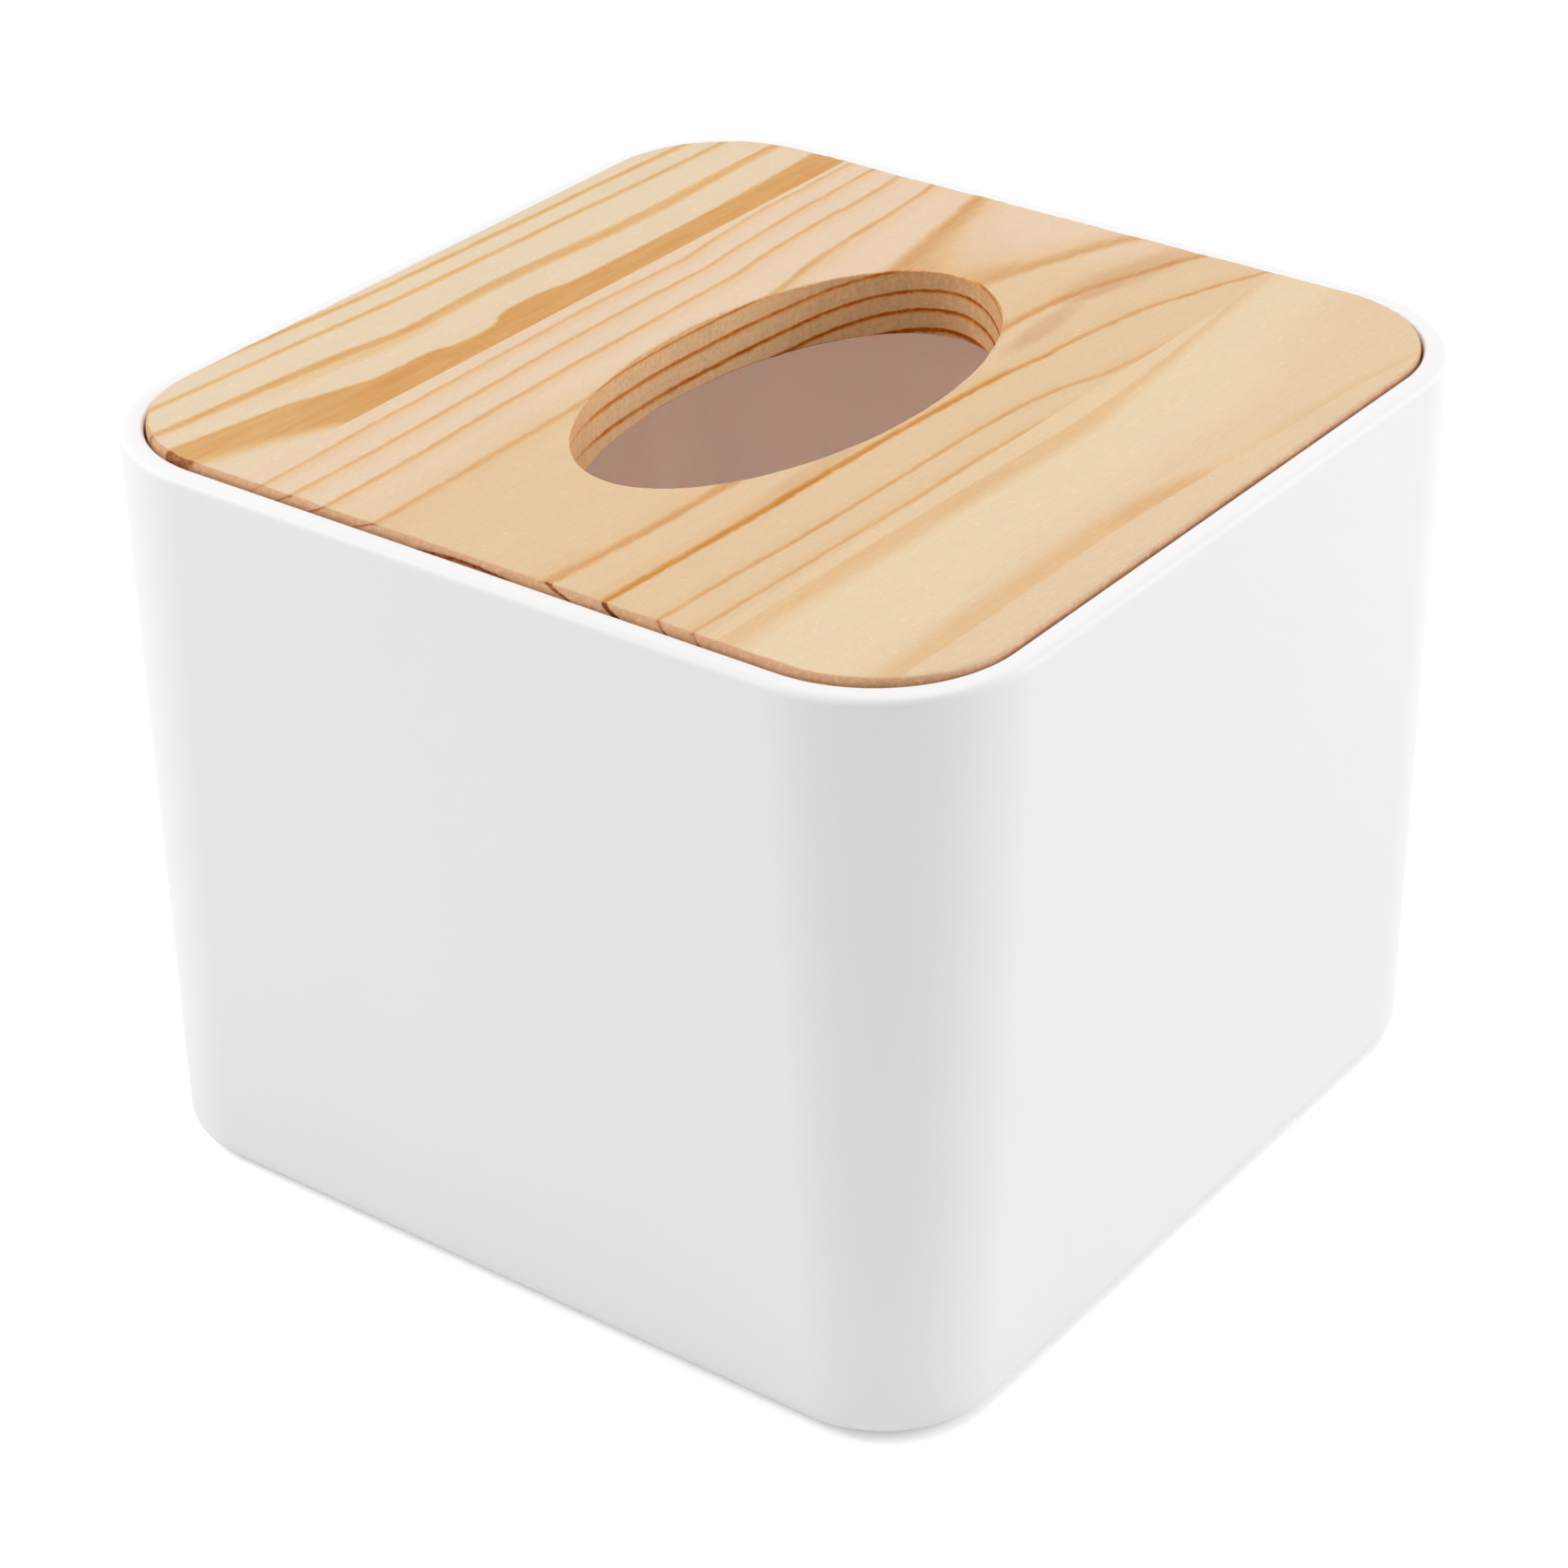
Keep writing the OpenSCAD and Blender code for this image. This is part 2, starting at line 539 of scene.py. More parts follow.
    def draw(self, tree: NodeTree, share: Node, lines: Sequence[RingLine]) -> Node:
        """Draws one side's lines.

        Args:
            tree: The material's node tree.
            share: The ring radius as a part of the drawn range.
            lines: The side's outer lines, which follow the inner ones that both sides share.

        Returns:
            The node that gives how dark the wood is on that side.
        """
        stops: list[tuple[float, Colour]] = []
        for line in (*self.inner_lines, *lines):
            for radius, tone in (
                (line.radius - self.lead, 0.0),
                (line.radius - self.rise * line.width, line.lead_tone),
                (line.radius, line.darkness),
                (line.radius + self.fall * line.width, 0.0),
            ):
                stops.append(((radius - self.first_r) / (self.last_r - self.first_r), grey(tone)))
        ramp = add_node(tree, "ShaderNodeValToRGB", {}, {0: share})
        ramp.color_ramp.interpolation = "EASE"
        fill_ramp(ramp.color_ramp, stops)
        return ramp


@dataclass(frozen=True)
class GrainBand:
    """A dark line or band between two edges that each run their own way along the grain."""

    # Its edges towards the back and the front of the lid, as (along, across)
    back_edge: Path
    front_edge: Path
    # How dark it is along the grain, and over how many millimetres each edge fades
    darkness: Path
    fade_back: float
    fade_front: float

    def draw(self, space: GrainSpace) -> Node:
        """Draws the band.

        Args:
            space: The board's grain space.

        Returns:
            The node that gives how dark the band makes the wood.
        """
        tone = space.follow(self.darkness)
        for edge, fade in ((self.back_edge, -self.fade_back), (self.front_edge, self.fade_front)):
            gap = add_node(space.tree, MATH, SUBTRACT, {0: space.across, 1: space.follow(edge)})
            inside = add_node(
                space.tree, MAP_RANGE, SMOOTH, {"Value": gap, "From Min": -fade / 2, "From Max": fade / 2}
            )
            tone = add_node(space.tree, MATH, MULTIPLY, {0: tone, 1: inside})
        return tone


def grain_line(path: Path, width: float, darkness: float, fade_back: float, fade_front: float) -> GrainBand:
    """Sets out a band of one width and one tone along a path.

    Args:
        path: Its middle, as (along, across).
        width: Its width.
        darkness: How dark it is.
        fade_back: Over how many millimetres its edge towards the back fades.
        fade_front: Over how many millimetres its edge towards the front fades.

    Returns:
        The band.
    """
    back_edge, front_edge = (tuple((x, y + shift) for x, y in path) for shift in (width / 2, -width / 2))
    return GrainBand(back_edge, front_edge, along_grain(darkness, last=darkness), fade_back, fade_front)


@dataclass(frozen=True)
class FlatRings:
    """Growth rings that run almost straight along a board."""

    bands: tuple[GrainBand, ...]

    def darkness(self, space: GrainSpace) -> Source:
        """Draws the lines.

        Args:
            space: The board's grain space.

        Returns:
            The node that gives how dark the wood is, from 0 in pale early wood to 1.
        """
        total: Any = 0.0
        for band in self.bands:
            total = add_node(space.tree, MATH, MAXIMUM, {0: total, 1: band.draw(space)})
        return total


@dataclass(frozen=True)
class Stain:
    """A soft darker patch of resin in the wood, long along the grain."""

    along: float
    across: float
    length: float
    width: float
    turn: float
    darkness: float
    # It is full up to this part of its reach, and fades from there
    full_to: float = 0.3

    def draw(self, space: GrainSpace) -> Node:
        """Draws the stain.

        Args:
            space: The board's grain space.

        Returns:
            The node that gives how dark the stain makes the wood.
        """
        tree = space.tree
        spot = add_node(tree, "ShaderNodeCombineXYZ", {}, {"X": space.along, "Y": space.across})
        moved = add_node(
            tree, "ShaderNodeMapping", {"vector_type": "TEXTURE"},
            {
                "Vector": spot,
                "Location": (self.along, self.across, 0.0),
                "Rotation": (0.0, 0.0, math.radians(self.turn)),
                "Scale": (self.length / 2, self.width / 2, 1.0),
            },
        )
        reach = add_node(tree, VECTOR_MATH, {"operation": "LENGTH"}, {0: moved})
        return add_node(
            tree, MAP_RANGE, SMOOTH,
            {"Value": reach, "From Min": self.full_to, "To Min": self.darkness, "To Max": 0.0},
        )


@dataclass(frozen=True)
class Streak:
    """Noise that is drawn out, as fibres, flecks, patches and marks are."""

    # How long it is along the grain, across it and upright
    size: Point
    # The most that it changes what it acts on
    amount: float
    # How much finer noise is in it
    detail: float = 1.0


@dataclass(frozen=True)
class Cut:
    """How the surface of a board cuts its wood at each place, all from 0 to 1."""

    # How upright the surface stands, against the planed top
    upright: Source
    # How much it cuts across the fibres
    ends: Source
    # How near it is to the lid's outer edge, against the slot
    outer: Source
    # How much sanding has broken a sharp edge there, whose pale wear is also a painted highlight on the
    # rounding
    broken_and_highlit: Source


@dataclass(frozen=True)
class SandedPine:
    """Pine, planed, glued up and sanded, with no lacquer.

    It gives the eye warm straw wood with honey-brown growth lines, fine fibres along the grain
    and hardly any shine. Sawn across its fibres it looks redder, with the marks of the cutter.
    """

    name: str
    rings: RoundRings | FlatRings
    # The early wood, from pale to warm between two lines across the board
    pale: str
    warm: str
    warm_from: float
    warm_to: float
    # How far towards the back that change moves along the grain, and how it wanders
    warm_shift: Path = along_grain(0.0, last=0.1)
    warm_wander: Streak = Streak((80.0, 14.0, 14.0), 14.0)
    stains: tuple[Stain, ...] = ()
    seed: float = 0.0
    # The late wood by how dark it is, on the planed top, in the slot and on the outer edges
    tones: Tones = ((0.3, "#DAB486"), (0.7, "#CC9A67"), (1.0, "#C98B3A"), (1.7, "#AF6A1C"))
    sawn_tones: Tones = ((0.3, "#F3B67A"), (0.8, "#DC8A44"), (1.2, "#C46A24"), (1.7, "#B45612"))
    edge_tones: Tones = ((0.3, "#C99B77"), (0.8, "#A9683C"), (1.2, "#8A4420"), (1.7, "#6E2E10"))
    # How dark the wood is at the end of the ramps that hold those tones
    darkest: float = 2.0
    # Its lowest and highest roughness
    roughness: Flat = (0.5, 0.66)
    ior: float = 1.5
    # Bare fibres scatter light, so the wood mirrors less than its IOR alone would
    mirror: float = 0.2
    # The lines wander and fray on their own: a slow wander, and single fibres at their edges
    wander: Streak = Streak((34.0, 9.0, 9.0), 0.45)
    fray: Streak = Streak((1.8, 0.6, 0.6), 0.2)
    # Lines and stains break up in streaks, so that they look grown and not painted
    break_up: Streak = Streak((9.0, 1.3, 1.3), 0.6)
    # Real fibres are about 0.03 mm wide and are drawn as bundles of 0.45 mm, so that they show
    fibre: Streak = Streak((10.0, 0.45, 0.45), 0.045, 3.0)
    fibre_depth: float = 0.012
    # The hard late wood stands up from the soft early wood by this many fibre depths
    late_rise: float = 0.5
    # Short flecks are cut resin ducts and rays, about 2 mm long
    fleck: Streak = Streak((2.2, 0.35, 0.35), 0.045)
    # Resin and uneven growth make slow patches
    patch: Streak = Streak((13.0, 5.0, 5.0), 0.04, 2.0)
    # Torn fibres make small pale specks where this noise is high, and torn pores on sawn faces
    speck: Streak = Streak((0.6, 0.6, 0.6), 0.1)
    speck_from: float = 0.6
    speck_to: float = 0.8
    pore_tone: float = 0.22
    # The cutter leaves upright marks on sawn faces
    mark: Streak = Streak((0.55, 0.55, 7.0), 0.08, 2.0)
    noise_roughness: float = 0.55
    # Resin that has soaked into the wood dulls it
    resin: str = "#DCAC86"
    # The walls of the slot show the wood's own deeper colour, painted brighter and more orange than the
    # wood is as painted light for the light that bounces round the slot, and thin dark lines, whose
    # strength changes along the grain. The lid's outer edges are sanded and duller.
    sawn: str = "#FFD2A0"
    end_grain: str = "#F4ECE4"
    edge: str = "#D2A27C"
    sawn_lines: Path = along_grain(2.6, (-54, 2.2), (-42, 0.6), (-28, 0.9), (-12, 2.0), (5, 2.3), last=2.3)
    sawn_crispness: float = 2.0
    # The outer edges start between these two distances from the lid's middle
    edge_from: float = 45.0
    edge_to: float = 50.0
    # How far a face must turn along the grain to be cut across the fibres, and how much the
    # specks roughen that border
    ends_turn: Flat = (0.32, 0.6)
    ends_rough: float = 0.3
    # How level a face is, from 0 to 1, where it leaves the planed top and where it is a side
    side_turn: Flat = (0.95, 0.4)
    # Where a sharp edge is broken by sanding, the fibres stand up and look pale, and the same pale colour
    # is a painted highlight where the rounding faces the light. Such a place is more level than a side and
    # less level than the top.
    worn_and_highlight: str = "#F9E9CF"
    worn_and_highlight_share: float = 0.15
    worn_and_highlight_above: Flat = (0.1, 0.5)
    worn_and_highlight_below: Flat = (0.99, 0.8)

    def space(self, tree: NodeTree, top_z: float) -> GrainSpace:
        """Sets out the board's grain space, with its slow wander and frayed edges.

        Args:
            tree: The material's node tree.
            top_z: Height of the lid's top.

        Returns:
            The grain space.
        """
        moved = self.place_mm(tree)
        for streak in (self.wander, self.fray):
            drift = self.draw(tree, streak).outputs["Color"]
            centred = add_node(tree, VECTOR_MATH, SUBTRACT, {0: drift, 1: (NOISE_MIDDLE,) * 3})
            reach = (0.0, 2 * streak.amount, streak.amount)
            moved = add_node(tree, VECTOR_MATH, MULTIPLY_ADD, {0: centred, 1: reach, 2: moved})
        axes = add_node(tree, "ShaderNodeSeparateXYZ", {}, {0: moved}).outputs
        depth = add_node(tree, MATH, SUBTRACT, {0: top_z, 1: axes["Z"]})
        share = add_node(tree, MATH, MULTIPLY_ADD, {0: axes["X"], 1: 1 / (2 * PATH_HALF), 2: 1 / 2})
        return GrainSpace(tree, axes["X"], axes["Y"], depth, share)

    def place_mm(self, tree: NodeTree) -> Node:
        """Gives the place in the lid in millimetres."""
        spot = add_node(tree, "ShaderNodeTexCoord").outputs["Object"]
        return add_node(tree, VECTOR_MATH, SCALE, {0: spot, "Scale": 1 / MM})

    def draw(self, tree: NodeTree, streak: Streak) -> Node:
        """Draws a streak's noise.

        Args:
            tree: The material's node tree.
            streak: The streak.

        Returns:
            The noise node.
        """
        stretched = add_node(
            tree, "ShaderNodeMapping", {},
            {
                "Vector": self.place_mm(tree),
                "Location": (self.seed, self.seed, self.seed),
                "Scale": tuple(1 / length for length in streak.size),
            },
        )
        return add_node(
            tree, NOISE, {},
            {"Vector": stretched, "Scale": 1.0, "Detail": streak.detail, "Roughness": self.noise_roughness},
        )

    def cut(self, space: GrainSpace, specks: Node) -> Cut:
        """Works out how the surface cuts the wood, from its place and the way it faces.

        Args:
            space: The board's grain space.
            specks: The noise of the specks.

        Returns:
            The cut.
        """
        tree = space.tree
        normal = add_node(tree, "ShaderNodeTexCoord").outputs["Normal"]
        turned = add_node(tree, VECTOR_MATH, ABSOLUTE, {0: normal})
        facing = add_node(tree, "ShaderNodeSeparateXYZ", {}, {0: turned}).outputs
        rough = add_node(tree, MATH, MULTIPLY_ADD, {0: specks, 1: self.ends_rough, 2: facing["X"]})
        ends, sides, above, below = (
            add_node(
                tree, MAP_RANGE, SMOOTH, {"Value": value, "From Min": low, "From Max": high, "To Max": most}
            )
            for value, (low, high), most in (
                (rough, self.ends_turn, 1.0),
                (facing["Z"], self.side_turn, 1.0),
                (facing["Z"], self.worn_and_highlight_above, self.worn_and_highlight_share),
                (facing["Z"], self.worn_and_highlight_below, 1.0),
            )
        )
        upright = add_node(tree, MATH, MAXIMUM, {0: ends, 1: sides})
        # The pale edge is partly wear and partly a painted highlight: it follows how the rounding faces,
        # and leaves out the end grain
        slanted = add_node(tree, MATH, MULTIPLY, {0: above, 1: below})
        with_fibres = add_node(tree, MATH, SUBTRACT, {0: 1.0, 1: ends})
        broken_and_highlit = add_node(tree, MATH, MULTIPLY, {0: slanted, 1: with_fibres})
        along, across = (add_node(tree, MATH, ABSOLUTE, {0: way}) for way in (space.along, space.across))
        reach = add_node(tree, MATH, MAXIMUM, {0: along, 1: across})
        outer = add_node(
            tree, MAP_RANGE, {}, {"Value": reach, "From Min": self.edge_from, "From Max": self.edge_to}
        )
        return Cut(upright, ends, outer, broken_and_highlit)

    def early_wood(self, space: GrainSpace, cut: Cut) -> Node:
        """Colours the wood between the lines.

        Args:
            space: The board's grain space.
            cut: How the surface cuts the wood.

        Returns:
            The node with the colour.
        """
        tree = space.tree
        wander = self.warm_wander
        drifted = add_node(
            tree, MATH, MULTIPLY_ADD, {0: self.draw(tree, wander), 1: wander.amount, 2: space.across}
        )
        placed = add_node(tree, MATH, SUBTRACT, {0: drifted, 1: space.follow(self.warm_shift)})
        middle = wander.amount * NOISE_MIDDLE
        warmth = add_node(
            tree, MAP_RANGE, SMOOTH,
            {"Value": placed, "From Min": self.warm_from + middle, "From Max": self.warm_to + middle},
        )
        planed = add_node(
            tree, MIX, COLOURS, {"Factor": warmth, "A": linear(self.pale), "B": linear(self.warm)}
        )
        # The slot's walls take the sawn colour, which is partly painted light that makes them brighter than
        # the wood
        slot_wall = add_node(
            tree, MIX, TINT, {"Factor": cut.ends, "A": linear(self.sawn), "B": linear(self.end_grain)}
        )
        side = add_node(tree, MIX, COLOURS, {"Factor": cut.outer, "A": slot_wall, "B": linear(self.edge)})
        return add_node(tree, MIX, COLOURS, {"Factor": cut.upright, "A": planed, "B": side})

    def late_wood(self, space: GrainSpace, uneven: Node, cut: Cut) -> Node:
        """Works out how dark the growth lines are.

        Args:
            space: The board's grain space.
            uneven: The break-up of the lines.
            cut: How the surface cuts the wood.

        Returns:
            The node that gives how dark the wood is.
        """
        tree = space.tree
        grown = add_node(tree, MATH, MULTIPLY, {0: self.rings.darkness(space), 1: uneven})
        crisp = add_node(tree, MATH, {"operation": "POWER"}, {0: grown, 1: self.sawn_crispness})
        sawn = add_node(tree, MATH, MULTIPLY, {0: crisp, 1: space.follow(self.sawn_lines)})
        return add_node(tree, MIX, NUMBERS, {"Factor": cut.upright, "A": grown, "B": sawn})

    def late_colour(self, tree: NodeTree, darkness: Node, cut: Cut) -> Node:
        """Gives the late wood its colour.

        Args:
            tree: The material's node tree.
            darkness: How dark the wood is.
            cut: How the surface cuts the wood.

        Returns:
            The node with the colour.
        """
        level = add_node(tree, MATH, MULTIPLY, {0: darkness, 1: 1 / self.darkest})
        ramps = []
        for tones in (self.tones, self.sawn_tones, self.edge_tones):
            ramps.append(add_node(tree, "ShaderNodeValToRGB", {}, {0: level}))
            fill_ramp(ramps[-1].color_ramp, [(dark / self.darkest, linear(tone)) for dark, tone in tones])
        planed, slot_wall, edge = ramps
        side = add_node(tree, MIX, COLOURS, {"Factor": cut.outer, "A": slot_wall, "B": edge})
        return add_node(tree, MIX, COLOURS, {"Factor": cut.upright, "A": planed, "B": side})

    def stained(self, space: GrainSpace, wood: Node, uneven: Node) -> Node:
        """Lets the resin stains into the wood, in streaks.

        Args:
            space: The board's grain space.
            wood: The wood's colour.
            uneven: The break-up of the stains.

        Returns:
            The node with the colour.
        """
        tree = space.tree
        amount: Any = 0.0
        for stain in self.stains:
            amount = add_node(tree, MATH, MAXIMUM, {0: amount, 1: stain.draw(space)})
        streaky = add_node(tree, MATH, MULTIPLY, {0: amount, 1: uneven})
        return add_node(tree, MIX, TINT, {"Factor": streaky, "A": wood, "B": linear(self.resin)})

    def shade(self, tree: NodeTree, fibres: Node, specks: Node, cut: Cut) -> Node:
        """Works out the fine light and dark of fibres, flecks, patches, specks, marks and pores.

        Args:
            tree: The material's node tree.
            fibres: The fibre noise.
            specks: The noise of the specks.
            cut: How the surface cuts the wood.

        Returns:
            The node that gives a factor about 1 for the colour.
        """
        flecks, patches, marks = (self.draw(tree, streak) for streak in (self.fleck, self.patch, self.mark))
        pale = add_node(
            tree, MAP_RANGE, {}, {"Value": specks, "From Min": self.speck_from, "From Max": self.speck_to}
        )
        on_sawn = []
        for texture in (marks, specks):
            centred = add_node(tree, MATH, SUBTRACT, {0: texture, 1: NOISE_MIDDLE})
            on_sawn.append(add_node(tree, MATH, MULTIPLY, {0: centred, 1: cut.upright}))
        factor: Any = 1 - self.fibre.amount - self.fleck.amount - self.patch.amount
        # A noise runs from 0 to 1, so twice its amount goes in to change the tone by that much
        for texture, amount in (
            (fibres, 2 * self.fibre.amount),
            (flecks, 2 * self.fleck.amount),
            (patches, 2 * self.patch.amount),
            (pale, self.speck.amount),
            (on_sawn[0], 2 * self.mark.amount),
            (on_sawn[1], 2 * self.pore_tone),
        ):
            factor = add_node(tree, MATH, MULTIPLY_ADD, {0: texture, 1: amount, 2: factor})
        return factor

    def material(self, top_z: float) -> Material:
        """Makes the material.

        Args:
            top_z: Height of the lid's top.

        Returns:
            The sanded pine of one board.
        """
        material, tree = new_material(self.name)
        space = self.space(tree, top_z)
        fibres, specks, streaks = (self.draw(tree, s) for s in (self.fibre, self.speck, self.break_up))
        both = add_node(tree, MATH, ADD, {0: fibres, 1: streaks})
        amount = self.break_up.amount
        uneven = add_node(tree, MATH, MULTIPLY_ADD, {0: both, 1: amount, 2: 1 - amount})
        cut = self.cut(space, specks)
        darkness = self.late_wood(space, uneven, cut)
        share = add_node(tree, MAP_RANGE, {}, {"Value": darkness, "From Max": self.tones[0][0]})
        early, late = self.early_wood(space, cut), self.late_colour(tree, darkness, cut)
        wood = add_node(tree, MIX, COLOURS, {"Factor": share, "A": early, "B": late})
        stained = self.stained(space, wood, uneven)
        # The pale worn edge, mixed in here, is partly a painted highlight on the rounding
        edge_highlighted = add_node(tree, MIX, COLOURS, {"Factor": cut.broken_and_highlit, "A": stained, "B": linear(self.worn_and_highlight)})
        shade = self.shade(tree, fibres, specks, cut)
        toned = add_node(tree, VECTOR_MATH, SCALE, {0: edge_highlighted, "Scale": shade})
        low, high = self.roughness
        roughness = add_node(tree, MAP_RANGE, {}, {"Value": fibres, "To Min": low, "To Max": high})
        raised = add_node(tree, MATH, MULTIPLY_ADD, {0: darkness, 1: self.late_rise, 2: fibres})
        relief = add_node(tree, BUMP, {}, {"Height": raised, "Distance": self.fibre_depth * MM})
        surface = add_node(
            tree, PRINCIPLED, {},
            {
                "Base Color": toned,
                "Roughness": roughness,
                "IOR": self.ior,
                "Specular IOR Level": self.mirror,
                "Normal": relief,
            },
        )
        add_node(tree, OUTPUT, {}, {"Surface": surface})
        return material


@dataclass
class Tub:
    """The moulded tub: one skin from its underside up the outside and down the inside."""

    width: float = 130.0
    height: float = 101.5
    side_draft: float = 2.0
    rim_corner_r: float = 21.5
    foot_corner_r: float = 16.0
    foot_fillet_r: float = 3.0
    rim_w: float = 3.1
    rim_outer_r: float = 1.2
    rim_inner_r: float = 0.5
    seat_w: float = 1.8
    seat_edge_r: float = 0.4
    core_draft: float = 0.4
    floor_t: float = 2.6
    floor_fillet_r: float = 2.5
    foot_ring_w: float = 5.0
    foot_recess_h: float = 0.8
    seat_z: float = 93.2
    corner_steps: int = 32
    round_steps: int = 8
    side_levels: int = 8
    sharp_angle: float = 40.0
    finish: MouldedAbs = field(default_factory=MouldedAbs)

    @property
    def mouth_half(self) -> float:
        """Half the width of the mouth beside the lid."""
        return self.width / 2 - self.rim_w

    @property
    def mouth_corner_r(self) -> float:
        """Radius of the mouth's corners."""
        return self.rim_corner_r - self.rim_w

    @property
    def floor_z(self) -> float:
        """Height of the floor's inner face."""
        return self.foot_recess_h + self.floor_t

    def skin_half(self, z: float) -> float:
        """Half the tub's width at a height."""
        return self.width / 2 - self.side_draft * (1 - z / self.height)

    def skin_ring(self, inset: float, z: float) -> Ring:
        """A ring that lies in by an inset from the outer skin at a height."""
        corner_r = self.foot_corner_r + (self.rim_corner_r - self.foot_corner_r) * z / self.height
        return square_ring(self.skin_half(z) - inset, corner_r - inset, z, self.corner_steps)

    def core_ring(self, inset: float, z: float) -> Ring:
        """A ring that lies in by an inset from the inner sides below the lid's step."""
        lean = self.core_draft * (self.seat_z - z) / (self.seat_z - self.floor_z)
        core_half = self.mouth_half - self.seat_w - lean
        return self.skin_ring(self.skin_half(z) - core_half + inset, z)

    def mouth_ring(self, inset: float, z: float) -> Ring:
        """A ring that lies in by an inset from the mouth beside the lid."""
        return square_ring(self.mouth_half - inset, self.mouth_corner_r - inset, z, self.corner_steps)

    def rings(self) -> list[Ring]:
        """Sets out the skin.

        Returns:
            The rings from the underside up the outside and down to the floor.
        """
        ring_inset = self.foot_fillet_r + self.foot_ring_w
        rings = [
            self.skin_ring(ring_inset + self.foot_recess_h, self.foot_recess_h),
            self.skin_ring(ring_inset, 0.0),
        ]
        for across, up in quarter_round(self.foot_fillet_r, self.round_steps, Start.LEVEL):
            rings.append(self.skin_ring(self.foot_fillet_r - across, up))
        side_low = self.foot_fillet_r
        side_high = self.height - self.rim_outer_r
        for k in range(1, self.side_levels):
            rings.append(self.skin_ring(0.0, side_low + (side_high - side_low) * k / self.side_levels))
        for across, up in quarter_round(self.rim_outer_r, self.round_steps, Start.UPRIGHT):
            rings.append(self.skin_ring(across, side_high + up))
        for across, up in quarter_round(self.rim_inner_r, self.round_steps, Start.LEVEL):
            rings.append(self.mouth_ring(across - self.rim_inner_r, self.height - up))
        rings.append(self.mouth_ring(0.0, self.seat_z))
        for across, up in quarter_round(self.seat_edge_r, self.round_steps, Start.LEVEL):
            rings.append(self.core_ring(across - self.seat_edge_r, self.seat_z - up))
        for across, up in quarter_round(self.floor_fillet_r, self.round_steps, Start.UPRIGHT):
            rings.append(self.core_ring(across, self.floor_z + self.floor_fillet_r - up))
        return rings

    def build(self) -> Object:
        """Builds the tub's shell."""
        return loft("tub_shell", self.rings(), Ends.CAPPED, self.sharp_angle)

    def dress(self, shell: Object) -> None:
        """Gives the shell its place and its finish, which is milky below the lid's step and there painted
        lighter and warmer, as painted light.

        Args:
            shell: The tub's shell.
        """
        look = self.finish
        skin = look.material("moulded_satin_abs", (look.colour, look.shade), 0.0)
        place(shell, Body.TUB, "tub", skin)
        # The inside's lighter, warmer colour is painted light for the light inside the tub
        inside = look.material("moulded_satin_abs_inside_painted_light", (look.inside, look.inside), 1.0)
        shell.data.materials.append(inside)
        # The skin's last two roundings are those of the step and the floor, with the wall between
        ring_points = 4 * (self.corner_steps + 1)
        last_ring = len(shell.data.vertices) - ring_points
        step_edge = len(shell.data.vertices) - 2 * (self.round_steps + 1) * ring_points
        for face in shell.data.polygons:
            # The floor's flat face is the only one with all its points in the last ring
            if step_edge <= min(face.vertices) < last_ring:
                face.material_index = 1


@dataclass(frozen=True)
class Edge:
    """A closed line seen from above, with the way out from the wood at each point."""

    points: tuple[Flat, ...]
    outward: tuple[Flat, ...]

    def ring(self, insets: Sequence[float], heights: Sequence[float]) -> Ring:
        """Moves each point in from the edge and lifts it.

        Args:
            insets: How far each point moves into the wood.
            heights: The height of each point.

        Returns:
            The ring.
        """
        return [
            (p[0] - n[0] * inset, p[1] - n[1] * inset, z)
            for p, n, inset, z in zip(self.points, self.outward, insets, heights)
        ]


